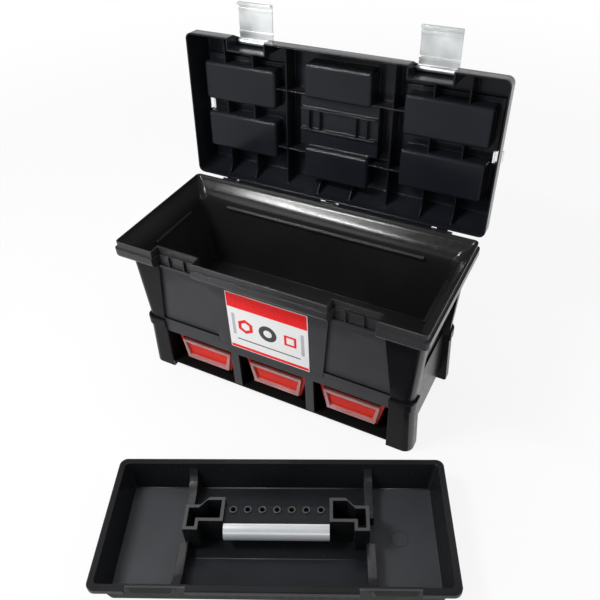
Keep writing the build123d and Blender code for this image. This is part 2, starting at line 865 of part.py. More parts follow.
def make_cover():
    """Right-hand organiser cover: a ridged plate with stub axles and a snap tab."""
    edge = cover_edge_gap
    barrel = cover_axis_drop - edge
    x0 = cover_axis_x
    x1 = cover_outer_x - edge
    half = cover_half_y - edge
    plate_low = lid_top - cover_thickness
    cover = block(x0, x1, -half, half, plate_low, lid_top)
    ridge = cover_ridge_width
    skirt = block(x0 + ridge, x1 - ridge, -half, half, plate_low - cover_ridge + overrun, plate_low)
    skirt -= block(x0, x1, -half + ridge, half - ridge, plate_low - cover_ridge, plate_low + overrun)
    cover += skirt
    cover += rod_y(barrel, -half, half, cover_axis_x, cover_axis_z)
    pin_end = cover_half_y + cover_pin_length - edge
    cover += rod_y(cover_pin_radius, -pin_end, pin_end, cover_axis_x, cover_axis_z)
    tab_y0 = cover_tab_back - cover_tab_width / 2
    tab_y1 = tab_y0 + cover_tab_width
    tab_x = end_box_outer_x + box_wall + cover_edge_gap
    cover += block(
        tab_x, tab_x + cover_tab_thickness, tab_y0, tab_y1, lid_top - cover_tab_drop, plate_low + overrun
    )
    return cover + block(
        x1 - overrun, cover_outer_x + cover_tab_reach, tab_y0, tab_y1, plate_low, lid_top
    )


def make_handle():
    """Folding bail: rounded grip, two arms and stub axles, folded forward into its well."""
    half = handle_length / 2
    grip_y = handle_y - handle_reach
    grip = block(
        -half, half, grip_y - handle_grip_depth / 2, grip_y + handle_grip_depth / 2,
        handle_z - handle_grip_thickness / 2, handle_z + handle_grip_thickness / 2,
    )
    grip = fillet(grip.edges().filter_by(Axis.X), handle_grip_thickness * handle_round_share)
    handle = grip
    arm_half = handle_arm_thickness / 2
    for side in (-1, 1):
        x0 = min(side * half, side * (half - handle_arm_width))
        x1 = x0 + handle_arm_width
        handle += block(x0, x1, grip_y, handle_y, handle_z - arm_half, handle_z + arm_half)
        handle += rod_x(arm_half, x0, x1, handle_y, handle_z)
    axle_end = well_length / 2 + handle_pin_length - handle_pin_end_gap
    for side in (-1, 1):
        x0 = min(side * axle_end, side * (half - overrun))
        x1 = max(side * axle_end, side * (half - overrun))
        handle += rod_x(handle_pin_radius, x0, x1, handle_y, handle_z)
    return handle


def latch_point(along, inward):
    """A point of the latch's section, swung out square to the front of the closed lid."""
    return (latch_y - along, latch_z - inward)


def make_latch():
    """Right-hand latch, an extrusion: barrel, plate with two beads, and a hook at its tip."""
    x0 = notch_x - latch_width / 2
    x1 = notch_x + latch_width / 2
    outer = -latch_barrel_radius
    inner = outer + latch_plate
    hook_top = latch_z - catch_low + latch_catch_gap
    tip = hook_top + latch_hook_height
    bead = inner + latch_bead_depth
    section = [
        (0, outer), (tip, outer), (tip, inner + latch_hook_depth), (hook_top, inner + latch_hook_depth),
        (hook_top, inner), (hook_top - latch_bead_height, inner), (hook_top - latch_bead_height, bead),
        (hook_top - 2 * latch_bead_height, bead), (hook_top - 2 * latch_bead_height, inner),
        (latch_step + latch_bead_height, inner), (latch_step + latch_bead_height, bead), (latch_step, bead),
        (latch_step, inner), (0, inner),
    ]
    latch = prism_x([latch_point(along, inward) for along, inward in section], x0, x1)
    latch += rod_x(latch_barrel_radius, x0, x1, latch_y, latch_z)
    return latch - rod_x(latch_pin_radius + pin_gap, x0 - overrun, x1 + overrun, latch_y, latch_z)


def make_latch_pin():
    end = notch_width / 2 + lid_wall
    return rod_x(latch_pin_radius, notch_x - end, notch_x + end, latch_y, latch_z)


def tray_sections(inset, low, high):
    """Tapered walls of the tray, drawn in by inset."""
    half_x = tray_length / 2 - tray_flange - inset
    half_y = tray_depth / 2 - tray_flange - inset
    return [
        (low, half_x - tray_taper, half_y - tray_taper, tray_floor_corner - inset),
        (high, half_x, half_y, tray_corner - tray_flange / 2 - inset),
    ]


def make_tray():
    """Open tray with a rolled flange, set-back front rim and four hollow dividing ridges."""
    setback_half = tray_setback_width / 2
    setback_y = -tray_depth / 2 + tray_setback
    setback = block(
        notch_x - setback_half, notch_x + setback_half, -tray_depth, setback_y,
        -overrun, tray_height + overrun,
    )
    inner_half = setback_half + tray_wall
    inner_setback = block(
        notch_x - inner_half, notch_x + inner_half, -tray_depth, setback_y + tray_wall,
        -overrun, tray_height + 2 * overrun,
    )
    flange_z = tray_height - tray_flange_height
    outside = stack(tray_sections(0, 0, tray_height))
    half_x = tray_length / 2
    half_y = tray_depth / 2
    edge = tray_wall / 2
    outside += stack([
        (flange_z, half_x, half_y, tray_corner),
        (tray_height - edge, half_x, half_y, tray_corner),
        (tray_height, half_x - edge, half_y - edge, tray_corner - edge),
    ])
    under = stack([
        (flange_z - overrun, half_x - tray_wall, half_y - tray_wall, tray_corner - tray_wall),
        (tray_height - tray_wall, half_x - tray_wall, half_y - tray_wall, tray_corner - tray_wall),
    ]) - stack(tray_sections(0, 0, tray_height))
    hollow = stack(tray_sections(tray_wall, tray_floor, tray_height + overrun)) - both_sides(inner_setback)
    tab_half = tray_tab_width / 2
    tab = block(
        tray_tab_x - tab_half, tray_tab_x + tab_half, setback_y, setback_y + tray_wall,
        tray_height - tray_tab_height, tray_height - edge,
    )
    tab_foot = tab.edges().filter_by(Axis.Y).sort_by(Axis.Z)[:2]
    tray = outside - under - both_sides(setback) - hollow + both_sides(fillet(tab_foot, tray_tab_corner))
    wall_y = tray_depth / 2 - tray_flange - tray_wall
    ridges = Part()
    for side in (-1, 1):
        near = cup_rear_y - cup_rear_step if side > 0 else cup_front_y - cup_front_step
        far = side * wall_y
        top = tray_floor + ridge_height
        bend = far - side * ridge_sweep
        turn = bend + side * ridge_sweep * ridge_bend_share
        outline = [
            (near, 0), (far, 0), (far, top + ridge_rise), (turn, top + ridge_rise * ridge_bend_rise_share),
            (bend, top), (near, top),
        ]
        ridges += prism_x(outline, ridge_x - ridge_width / 2, ridge_x + ridge_width / 2)
    inside = stack(tray_sections(tray_wall / 2, tray_floor / 2, tray_height)) - both_sides(inner_setback)
    return tray + (both_sides(ridges) & inside)


def cup_outline(inset):
    """Stepped plan of the right-hand end cup, drawn in by inset."""
    rear_step = cup_rear_y - cup_rear_step
    front_step = cup_front_y - cup_front_step
    return [
        (cup_inner_x + inset, cup_front_y + inset), (cup_inner_x + inset, cup_rear_y - inset),
        (cup_step_x - cup_bevel + inset / 2, cup_rear_y - inset), (cup_step_x + inset / 2, rear_step - inset),
        (cup_outer_x - inset, rear_step - inset), (cup_outer_x - inset, front_step + inset),
        (cup_step_x + inset, front_step + inset), (cup_step_x + inset, cup_front_y + inset),
    ]


def make_tray_handle():
    """End cups, the drilled bit rack between them and the core of the grip."""
    cup = prism_z(cup_outline(0), tray_floor, cup_height)
    cup -= prism_z(cup_outline(cup_wall), cup_floor, cup_height + overrun)
    handle = both_sides(cup)
    rack_low = rack_top - rack_thickness
    rack = block(-cup_inner_x, cup_inner_x, cup_front_y, rack_rear_y, rack_low, rack_top)
    core_z = rack_top - grip_radius
    core_radius = grip_radius - grip_plate - pin_gap
    core = rod_x(core_radius, -cup_inner_x, cup_inner_x, cup_front_y, core_z)
    handle += rack + core
    for hole in range(rack_holes):
        x = (hole - (rack_holes - 1) / 2) * rack_hole_pitch
        handle -= rod_z(rack_hole_radius, rack_low + cup_wall, rack_top + overrun, x, rack_hole_y)
    return handle


def make_grip_plate():
    """Half-round metal plate over the front of the grip."""
    core_z = rack_top - grip_radius
    outer = rod_x(grip_radius, -cup_inner_x, cup_inner_x, cup_front_y, core_z)
    end = cup_inner_x + overrun
    inner = rod_x(grip_radius - grip_plate, -end, end, cup_front_y, core_z)
    front = block(
        -cup_inner_x, cup_inner_x, cup_front_y - 2 * grip_radius, cup_front_y,
        core_z - 2 * grip_radius, rack_top,
    )
    return (outer - inner) & front


def opened(part):
    """Swing a piece of the closed lid up and back about the lid's hinge."""
    return part.rotate(Axis((0, hinge_y, hinge_z), (1, 0, 0)), -lid_open_angle)


def set_down(part):
    """Stand a piece of the tray on the floor in front of the box."""
    return Pos(tray_x, tray_y, 0) * Rot(0, 0, tray_yaw) * part


def mirrored(part):
    return mirror(part, about=Plane.YZ)


def make_parts():
    drawers = {"left": -drawer_pitch, "centre": 0, "right": drawer_pitch}
    cover = make_cover()
    latch = make_latch()
    latch_pin = make_latch_pin()
    parts = {
        "tub": make_tub(),
        "base_frame": make_base(),
        "base_screws": make_screws(),
        "front_label": make_label(),
        "lid_hinge_pins": make_hinge_pins(),
        "lid_shell": opened(make_lid()),
        "carry_handle": opened(make_handle()),
        "cover_right": opened(cover),
        "cover_left": opened(mirrored(cover)),
        "latch_right": opened(latch),
        "latch_left": opened(mirrored(latch)),
        "latch_pin_right": opened(latch_pin),
        "latch_pin_left": opened(mirrored(latch_pin)),
        "tray_shell": set_down(make_tray()),
        "tray_handle": set_down(make_tray_handle()),
        "tray_grip_plate": set_down(make_grip_plate()),
    }
    for name, middle in drawers.items():
        parts["drawer_bin_" + name] = make_drawer_bin(middle)
        parts["drawer_frame_" + name] = make_drawer_frame(middle)
    return parts


os.makedirs("parts", exist_ok=True)
for node, solid in make_parts().items():
    export_step(solid, "parts/" + node + ".step")
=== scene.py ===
import bmesh
import bpy
import json
import math
from mathutils import Matrix, Vector

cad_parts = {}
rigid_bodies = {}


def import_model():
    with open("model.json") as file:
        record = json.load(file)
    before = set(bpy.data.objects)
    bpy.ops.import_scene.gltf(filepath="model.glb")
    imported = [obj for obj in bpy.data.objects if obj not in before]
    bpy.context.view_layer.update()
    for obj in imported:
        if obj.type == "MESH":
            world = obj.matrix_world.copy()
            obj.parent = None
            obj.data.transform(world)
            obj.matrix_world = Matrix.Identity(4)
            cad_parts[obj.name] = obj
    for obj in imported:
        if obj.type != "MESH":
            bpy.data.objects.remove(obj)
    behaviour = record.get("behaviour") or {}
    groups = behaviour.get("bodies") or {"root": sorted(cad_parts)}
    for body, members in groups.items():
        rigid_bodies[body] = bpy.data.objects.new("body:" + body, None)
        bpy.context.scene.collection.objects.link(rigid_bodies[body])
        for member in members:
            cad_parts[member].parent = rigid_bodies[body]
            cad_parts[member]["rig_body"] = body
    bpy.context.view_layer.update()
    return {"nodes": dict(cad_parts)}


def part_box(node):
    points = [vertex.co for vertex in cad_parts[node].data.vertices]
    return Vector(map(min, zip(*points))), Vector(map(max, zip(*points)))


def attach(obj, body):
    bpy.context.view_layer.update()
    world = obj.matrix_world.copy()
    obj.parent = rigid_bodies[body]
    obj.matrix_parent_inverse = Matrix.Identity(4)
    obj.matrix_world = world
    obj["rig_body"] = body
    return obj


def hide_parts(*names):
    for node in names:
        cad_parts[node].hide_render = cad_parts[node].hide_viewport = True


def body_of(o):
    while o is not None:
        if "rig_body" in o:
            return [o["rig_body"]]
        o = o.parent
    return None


# Portable tool box standing open, with its tote tray on the floor in front of it.
# Metres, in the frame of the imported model.

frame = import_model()
scene = bpy.context.scene

# How near a face's place and direction are to those of a finish
NEAR = 0.0004
LEVEL = 0.99
NEARLY_LEVEL = 0.9
SQUARE_ON = 0.95
END_ON = 0.6
LEANING = 0.3

# Tub: half length and half width of its inside, and the heights where its finish changes
WALL_INSIDE = (0.2515, 0.0975)
RIM_INSIDE = (0.2729, 0.1229)
INSIDE_SLACK = 0.002
INWARD = 0.0005
FLARE_LOW = 0.248
FLARE_LEAN = 0.2
LEDGE_TOP = 0.2515
LEDGE_OVERLAP = 0.006
LIP_TOP = 0.290
PANEL_PLANES = (0.1000, 0.1045)
BULGE_LOW = 0.255

# Base frame: face of its aprons, half length of its drawer bays and top of its floor
APRON_FACE = 0.1044
BAY_HALF = 0.2195
BASE_FLOOR = 0.0127

# Lid as it stands open: all that lies ahead of this place or faces forward is its underside
UNDERSIDE_Y = 0.19
UNDERSIDE_LEAN = 0.02
LID_HINGE = Vector((0.0, 0.1378, 0.2799))
LID_OPEN = (
    Matrix.Translation(LID_HINGE) @ Matrix.Rotation(math.radians(-93.8), 4, "X")
    @ Matrix.Translation(-LID_HINGE)
)

# Hanging boxes of the lid where it is closed: spans of X and Y, and the upper end
BOX_LOW = 0.2973
BOX_SOFT = 0.0050
BOX_SKIN = 0.00005
BOX_CUTS = (BOX_SOFT, BOX_SOFT * 0.7)
HANGING_BOXES = (
    ((-0.259, -0.117), (-0.07875, -0.01225), 0.3261),
    ((-0.259, -0.117), (0.01225, 0.07875), 0.3261),
    ((-0.060, 0.060), (-0.1015, -0.0445), 0.3319),
    ((-0.060, 0.060), (0.0445, 0.1015), 0.3319),
    ((0.117, 0.259), (-0.07875, -0.01225), 0.3261),
    ((0.117, 0.259), (0.01225, 0.07875), 0.3261),
)

# Tote tray: its place on the floor, then measures from its own middle
TRAY_TURN = math.radians(25.6)
TRAY_PLACE = Matrix.Translation((0.140, -0.3424, 0.0)) @ Matrix.Rotation(TRAY_TURN, 4, "Z")
TRAY_FLOOR = 0.003
TRAY_RIM = 0.046
END_FLOOR_X = 0.136
BEHIND_RACK_Y = 0.027
FRONT_FLOOR_Y = -0.032
RIDGE_X = 0.138
RIDGE_HALF = 0.0065
RIDGE_END_ON = 0.5
RIDGE_LEAN = 0.1
CUP_TOP = 0.057

# Gate ring on the tray's right end floor
GATE_SPOT = (0.182, 0.002)
GATE_RADIUS = 0.0130
GATE_WIRE = 0.0006
GATE_FLATNESS = 0.5

# Collars round the rack's holes
RACK_TOP = 0.050
RACK_Y = 0.0195
RACK_HOLES = 7
RACK_PITCH = 0.0218
COLLAR_SINK = 0.0003
COLLAR_HEIGHT = 0.0028
COLLAR_OUTER = 0.0060
COLLAR_INNER = 0.0038
COLLAR_EDGE = 0.0006
COLLAR_CREASE = 1.0
COLLAR_LEVEL = 0.98

# Beads along the tray's floor, by the wall behind the rack and at the front field's edge
REAR_BEAD_Y = 0.0889
REAR_BEAD_SPANS = ((-0.2345, -0.1445), (-0.1315, 0.1315), (0.1445, 0.2345))
REAR_BEAD_RADIUS = 0.0014
FRONT_BEAD_HALF = 0.1315
FRONT_BEAD_RADIUS = 0.0008

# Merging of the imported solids' triangles
SAME_POINT = 0.000002
SLIVER = 0.000001
CREASE = math.radians(32.0)


# Material building

# Noise lies mostly within these, and tones and roughness are spread over them
TONE_SPAN = (0.35, 0.65)
ROUGH_SPAN = (0.3, 0.7)


def fresh_material(name):
    material = bpy.data.materials.new(name)
    material.use_nodes = True
    tree = material.node_tree
    return material, tree, tree.nodes["Principled BSDF"]


def mottle(tree, scale, detail, stretch=(1.0, 1.0, 1.0), turn=0.0):
    """Noise on the piece's own coordinates, drawn out along axes turned about the upright."""
    coords = tree.nodes.new("ShaderNodeTexCoord")
    mapping = tree.nodes.new("ShaderNodeMapping")
    noise = tree.nodes.new("ShaderNodeTexNoise")
    mapping.vector_type = "TEXTURE"
    mapping.inputs["Scale"].default_value = stretch
    mapping.inputs["Rotation"].default_value = (0.0, 0.0, turn)
    noise.inputs["Scale"].default_value = scale
    noise.inputs["Detail"].default_value = detail
    tree.links.new(coords.outputs["Object"], mapping.inputs["Vector"])
    tree.links.new(mapping.outputs["Vector"], noise.inputs["Vector"])
    return noise.outputs["Fac"]


def ranged(tree, value, before, after, easing="LINEAR"):
    """A value taken from one range to another."""
    span = tree.nodes.new("ShaderNodeMapRange")
    span.interpolation_type = easing
    span.inputs["From Min"].default_value = before[0]
    span.inputs["From Max"].default_value = before[1]
    span.inputs["To Min"].default_value = after[0]
    span.inputs["To Max"].default_value = after[1]
    tree.links.new(value, span.inputs["Value"])
    return span.outputs["Result"]


def tint(tree, shader, noise, first, second):
    """Colour that noise varies between two tones."""
    ramp = tree.nodes.new("ShaderNodeValToRGB")
    for element, position, tone in zip(ramp.color_ramp.elements, TONE_SPAN, (first, second)):
        element.position = position
        element.color = (*tone, 1.0)
    tree.links.new(noise, ramp.inputs["Fac"])
    tree.links.new(ramp.outputs["Color"], shader.inputs["Base Color"])


def polish(tree, shader, noise, roughness, vary):
    """Roughness that noise varies a little either way."""
    rough = ranged(tree, noise, ROUGH_SPAN, (roughness - vary, roughness + vary))
    tree.links.new(rough, shader.inputs["Roughness"])


def relief(tree, shader, noise, depth, strength, edge):
    """Surface grain over softly rounded moulded edges."""
    rounding = tree.nodes.new("ShaderNodeBevel")
    rounding.samples = 4
    rounding.inputs["Radius"].default_value = edge
    bump = tree.nodes.new("ShaderNodeBump")
    bump.inputs["Strength"].default_value = strength
    bump.inputs["Distance"].default_value = depth
    tree.links.new(noise, bump.inputs["Height"])
    tree.links.new(rounding.outputs["Normal"], bump.inputs["Normal"])
    tree.links.new(bump.outputs["Normal"], shader.inputs["Normal"])


def moulded_plastic(name, first, second, roughness, grain, depth, edge, shine):
    """Black polypropylene with a fine spark-eroded grain and faint flow marks."""
    material, tree, shader = fresh_material(name)
    cloud = mottle(tree, scale=7.0, detail=3.0)
    scuffs = mottle(tree, scale=110.0, detail=5.0)
    pores = mottle(tree, scale=grain, detail=2.0)
    tint(tree, shader, cloud, first, second)
    polish(tree, shader, scuffs, roughness, vary=0.04)
    shader.inputs["Specular IOR Level"].default_value = shine
    relief(tree, shader, pores, depth, strength=0.35, edge=edge)
    return material


def drawn_metal(name, first, second, roughness, stretch, edge, sheen, turn=0.0):
    """Aluminium or steel with lines along the way it was drawn."""
    material, tree, shader = fresh_material(name)
    lines = mottle(tree, scale=60.0, detail=4.0, stretch=stretch, turn=turn)
    cloud = mottle(tree, scale=25.0, detail=2.0)
    tint(tree, shader, cloud, first, second)
    polish(tree, shader, lines, roughness, vary=0.01)
    shader.inputs["Metallic"].default_value = sheen
    relief(tree, shader, lines, depth=0.000003, strength=0.04, edge=edge)
    return material


def tinted_plastic(name, first, second, roughness, clearness, edge, shine):
    """Translucent styrene with faint flow lines."""
    material, tree, shader = fresh_material(name)
    flow = mottle(tree, scale=16.0, detail=3.0, stretch=(1.0, 1.0, 0.33))
    haze = mottle(tree, scale=220.0, detail=2.0)
    tint(tree, shader, flow, first, second)
    polish(tree, shader, haze, roughness, vary=0.03)
    shader.inputs["Transmission Weight"].default_value = clearness
    shader.inputs["IOR"].default_value = 1.5
    shader.inputs["Specular IOR Level"].default_value = shine
    relief(tree, shader, haze, depth=0.00002, strength=0.15, edge=edge)
    return material


def printed_film(name, first, second, roughness):
    """Paper label film, white or printed."""
    material, tree, shader = fresh_material(name)
    fibres = mottle(tree, scale=300.0, detail=4.0)
    cloud = mottle(tree, scale=12.0, detail=2.0)
    tint(tree, shader, cloud, first, second)
    polish(tree, shader, fibres, roughness, vary=0.05)
    shader.inputs["Specular IOR Level"].default_value = 0.12
    relief(tree, shader, fibres, depth=0.00001, strength=0.10, edge=0.00004)
    return material


smooth_black = moulded_plastic(
    "smooth_black", (0.007, 0.007, 0.008), (0.010, 0.010, 0.012),
    roughness=0.18, grain=900.0, depth=0.00001, edge=0.0014, shine=0.08,
)
panel_black = moulded_plastic(
    "panel_black", (0.040, 0.040, 0.044), (0.051, 0.051, 0.056),
    roughness=0.46, grain=1500.0, depth=0.00008, edge=0.0012, shine=0.14,
)
# Painted sheen: a glossier, slightly paler copy of the smooth black for faces that look towards the
# ends.
end_sheen_black = moulded_plastic(
    "end_sheen_black", (0.008, 0.009, 0.011), (0.012, 0.013, 0.015),
    roughness=0.34, grain=1100.0, depth=0.00003, edge=0.0014, shine=0.55,
)
apron_black = moulded_plastic(
    "apron_black", (0.034, 0.034, 0.038), (0.044, 0.044, 0.048),
    roughness=0.46, grain=1500.0, depth=0.00008, edge=0.0012, shine=0.18,
)
# Painted sheen: a paler copy of the smooth black for the bulge, flange and lip, standing in for their
# highlights.
flange_sheen_black = moulded_plastic(
    "flange_sheen_black", (0.030, 0.030, 0.032), (0.039, 0.039, 0.042),
    roughness=0.20, grain=900.0, depth=0.00001, edge=0.0014, shine=0.20,
)
# Painted shade: near-black for the drawer bays and the base's front below its floor, where the apron
# shades them.
bay_shade_black = moulded_plastic(
    "bay_shade_black", (0.002, 0.002, 0.002), (0.003, 0.003, 0.003),
    roughness=0.60, grain=900.0, depth=0.00005, edge=0.0010, shine=0.10,
)
inner_black = moulded_plastic(
    "inner_black", (0.014, 0.014, 0.014), (0.019, 0.019, 0.019),
    roughness=0.19, grain=700.0, depth=0.00001, edge=0.0016, shine=0.16,
)
# Painted highlight: a pale copy of the inside black for the tops of the rear ledge and the front lip.
ledge_highlight_black = moulded_plastic(
    "ledge_highlight_black", (0.050, 0.050, 0.052), (0.062, 0.062, 0.064),
    roughness=0.20, grain=700.0, depth=0.00001, edge=0.0010, shine=0.30,
)
# Painted shade: a darker, duller copy of the inside black for the front flare behind the lip.
shade_black = moulded_plastic(
    "shade_black", (0.008, 0.008, 0.008), (0.011, 0.011, 0.011),
    roughness=0.50, grain=700.0, depth=0.00001, edge=0.0016, shine=0.03,
)
lid_black = moulded_plastic(
    "lid_black", (0.010, 0.011, 0.015), (0.014, 0.016, 0.020),
    roughness=0.17, grain=900.0, depth=0.00001, edge=0.0036, shine=0.14,
)
top_black = moulded_plastic(
    "top_black", (0.010, 0.010, 0.011), (0.014, 0.014, 0.015),
    roughness=0.42, grain=1500.0, depth=0.00008, edge=0.0016, shine=0.30,
)
wall_black = moulded_plastic(
    "wall_black", (0.008, 0.009, 0.010), (0.012, 0.013, 0.015),
    roughness=0.24, grain=900.0, depth=0.00001, edge=0.0016, shine=0.12,
)
rim_black = moulded_plastic(
    "rim_black", (0.012, 0.012, 0.013), (0.017, 0.017, 0.019),
    roughness=0.24, grain=1100.0, depth=0.00001, edge=0.0014, shine=0.15,
)
outer_black = moulded_plastic(
    "outer_black", (0.008, 0.008, 0.009), (0.012, 0.012, 0.013),
    roughness=0.55, grain=1100.0, depth=0.00005, edge=0.0014, shine=0.10,
)
ridge_black = moulded_plastic(
    "ridge_black", (0.015, 0.015, 0.017), (0.020, 0.020, 0.022),
    roughness=0.26, grain=900.0, depth=0.00001, edge=0.0016, shine=0.50,
)
floor_black = moulded_plastic(
    "floor_black", (0.040, 0.043, 0.048), (0.052, 0.056, 0.062),
    roughness=0.38, grain=1500.0, depth=0.00008, edge=0.0016, shine=0.22,
)
# Painted shade: a darker copy of the grained floor for the middle fields, which the handle and walls
# shade.
field_shade_black = moulded_plastic(
    "field_shade_black", (0.010, 0.011, 0.014), (0.013, 0.015, 0.019),
    roughness=0.34, grain=1500.0, depth=0.00004, edge=0.0016, shine=0.14,
)
# Painted highlight: a pale copy of the black for the cup rims, the rack's collars and the floor's
# beads.
cup_highlight_black = moulded_plastic(
    "cup_highlight_black", (0.056, 0.056, 0.059), (0.072, 0.072, 0.075),
    roughness=0.42, grain=1300.0, depth=0.00006, edge=0.0012, shine=0.22,
)
latch_metal = drawn_metal(
    "latch_metal", (0.46, 0.48, 0.48), (0.66, 0.68, 0.68),
    roughness=0.30, stretch=(16.0, 0.08, 0.08), edge=0.0006, sheen=0.70,
)
grip_metal = drawn_metal(
    "grip_metal", (0.80, 0.83, 0.86), (0.85, 0.88, 0.91),
    roughness=0.24, stretch=(16.0, 0.10, 0.10), edge=0.0003, sheen=0.45, turn=TRAY_TURN,
)
fastener_steel = drawn_metal(
    "fastener_steel", (0.42, 0.43, 0.45), (0.55, 0.56, 0.58),
    roughness=0.34, stretch=(1.0, 1.0, 0.12), edge=0.0003, sheen=1.0,
)
drawer_red = tinted_plastic(
    "drawer_red", (0.63, 0.020, 0.011), (0.71, 0.028, 0.015),
    roughness=0.20, clearness=0.05, edge=0.0010, shine=0.10,
)
holder_clear = tinted_plastic(
    "holder_clear", (0.58, 0.26, 0.25), (0.72, 0.37, 0.36),
    roughness=0.16, clearness=0.35, edge=0.0008, shine=0.20,
)
cover_clear = tinted_plastic(
    "cover_clear", (0.93, 0.95, 0.95), (0.97, 0.98, 0.98),
    roughness=0.08, clearness=0.96, edge=0.0008, shine=0.50,
)
film_white = printed_film("film_white", (0.84, 0.84, 0.84), (0.88, 0.88, 0.88), roughness=0.32)
print_red = printed_film("print_red", (0.80, 0.012, 0.014), (0.86, 0.018, 0.020), roughness=0.30)
print_dark = printed_film("print_dark", (0.045, 0.047, 0.052), (0.060, 0.062, 0.068), roughness=0.32)
print_grey = printed_film("print_grey", (0.46, 0.47, 0.49), (0.52, 0.53, 0.55), roughness=0.32)


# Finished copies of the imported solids

def finish_solid(node, *materials, choose=None, cut=None):
    """A merged, smooth-shaded copy of a node's solid that stands for it."""
    source = frame["nodes"][node]
    mesh = source.data.copy()
    mesh.name = node + "_finish"
    mesh.materials.clear()
    for material in materials:
        mesh.materials.append(material)
    form = bmesh.new()
    form.from_mesh(mesh)
    bmesh.ops.remove_doubles(form, verts=form.verts, dist=SAME_POINT)
    bmesh.ops.dissolve_degenerate(form, edges=form.edges, dist=SLIVER)
    form.normal_update()
    if cut:
        cut(form)
    for edge in form.edges:
        edge.smooth = len(edge.link_faces) == 2 and edge.calc_face_angle() < CREASE
    for face in form.faces:
        face.smooth = True
        face.material_index = materials.index(choose(face)) if choose else 0
    form.to_mesh(mesh)
    form.free()
    piece = bpy.data.objects.new(node + "_finish", mesh)
    scene.collection.objects.link(piece)
    weighting = piece.modifiers.new("even_shading", "WEIGHTED_NORMAL")
    weighting.keep_sharp = True
    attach(piece, body_of(source)[0])
    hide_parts(node)


def lies_at(face, height, level):
    """Whether a face looks up at this height."""
    return face.normal.z > level and abs(face.calc_center_median().z - height) < NEAR


def parts_of(faces):
    """Faces with their edges and corners, as a cut takes them."""
    return faces + list({e for f in faces for e in f.edges} | {v for f in faces for v in f.verts})


def tub_finish(face):
    """Finish of a face of the tub, with a painted highlight on the rear ledge and front lip and painted
    shade on the front flare.
    """
    place = face.calc_center_median()
    normal = face.normal
    # The rear ledge's top and the front lip's top take the painted highlight.
    if lies_at(face, LEDGE_TOP, NEARLY_LEVEL) and place.y > WALL_INSIDE[1] - LEDGE_OVERLAP:
        return ledge_highlight_black
    if lies_at(face, LIP_TOP, NEARLY_LEVEL) and place.y < -RIM_INSIDE[1]:
        return ledge_highlight_black
    outward = normal.x * place.x + normal.y * place.y
    reach = WALL_INSIDE if place.z < FLARE_LOW else RIM_INSIDE
    within = abs(place.x) < reach[0] + INSIDE_SLACK and abs(place.y) < reach[1] + INSIDE_SLACK
    if within and (outward < -INWARD or normal.z > LEANING):
        # The front flare inside the lip takes the painted shade.
        on_front_flare = place.z > FLARE_LOW and normal.y > FLARE_LEAN
        return shade_black if on_front_flare else inner_black
    on_panel = any(abs(abs(place.y) - plane) < NEAR for plane in PANEL_PLANES)
    if on_panel and abs(normal.y) > SQUARE_ON and place.z < BULGE_LOW:
        return panel_black
    # Bulge, flange and lip take the painted sheen.
    if place.z > BULGE_LOW + NEAR:
        return flange_sheen_black
    # End faces take the painted sheen.
    return end_sheen_black if abs(normal.x) > END_ON else smooth_black


def base_finish(face):
    """Finish of a face of the base frame, with painted shade inside the drawer bays and on its front
    below the floor.
    """
    place = face.calc_center_median()
    if abs(abs(place.y) - APRON_FACE) < NEAR and abs(face.normal.y) > SQUARE_ON:
        return apron_black if place.z > BASE_FLOOR else bay_shade_black
    if abs(place.x) < BAY_HALF + NEAR and abs(place.y) < APRON_FACE - NEAR:
        return bay_shade_black
    # End faces take the painted sheen.
    return end_sheen_black if abs(face.normal.x) > END_ON else smooth_black


def lid_finish(face):
    """Finish of a face of the lid, grained on its top and skirt and smooth underneath."""
    underneath = face.normal.y < -UNDERSIDE_LEAN or face.calc_center_median().y < UNDERSIDE_Y
    return lid_black if underneath else top_black


def core_of_box(place, box):
    """The nearest place on the core that a box's rounded skin keeps its distance from."""
    along, across = box[:2]
    return Vector((
        min(max(place.x, along[0] + BOX_SOFT), along[1] - BOX_SOFT),
        min(max(place.y, across[0] + BOX_SOFT), across[1] - BOX_SOFT),
        max(place.z, BOX_LOW + BOX_SOFT),
    ))


def on_box_skin(place, box):
    """Whether a place in the closed lid is on the outside of a hanging box."""
    for value, span in zip(place, (*box[:2], (BOX_LOW, box[2]))):
        if not (span[0] - BOX_SKIN < value < span[1] + BOX_SKIN):
            return False
    return (place - core_of_box(place, box)).length > BOX_SOFT - BOX_SKIN


def soften_boxes(form):
    """Wider rounding on the edges of the lid's hanging boxes."""
    closing = LID_OPEN.inverted()
    turn = LID_OPEN.to_3x3()
    for box in HANGING_BOXES:
        along, across = box[:2]
        faces = [f for f in form.faces if all(on_box_skin(closing @ v.co, box) for v in f.verts)]
        planes = []
        for inset in BOX_CUTS:
            planes += [(Vector((x, 0.0, 0.0)), 0) for x in (along[0] + inset, along[1] - inset)]
            planes += [(Vector((0.0, y, 0.0)), 1) for y in (across[0] + inset, across[1] - inset)]
            planes.append((Vector((0.0, 0.0, BOX_LOW + inset)), 2))
        for place, axis in planes:
            made = bmesh.ops.bisect_plane(
                form, geom=parts_of(faces), plane_co=LID_OPEN @ place, plane_no=turn.col[axis],
            )
            faces = [part for part in made["geom"] if isinstance(part, bmesh.types.BMFace)]
        for vert in {v for f in faces for v in f.verts}:
            core = core_of_box(closing @ vert.co, box)
            vert.co = LID_OPEN @ (core + (closing @ vert.co - core).normalized() * BOX_SOFT)
    form.normal_update()


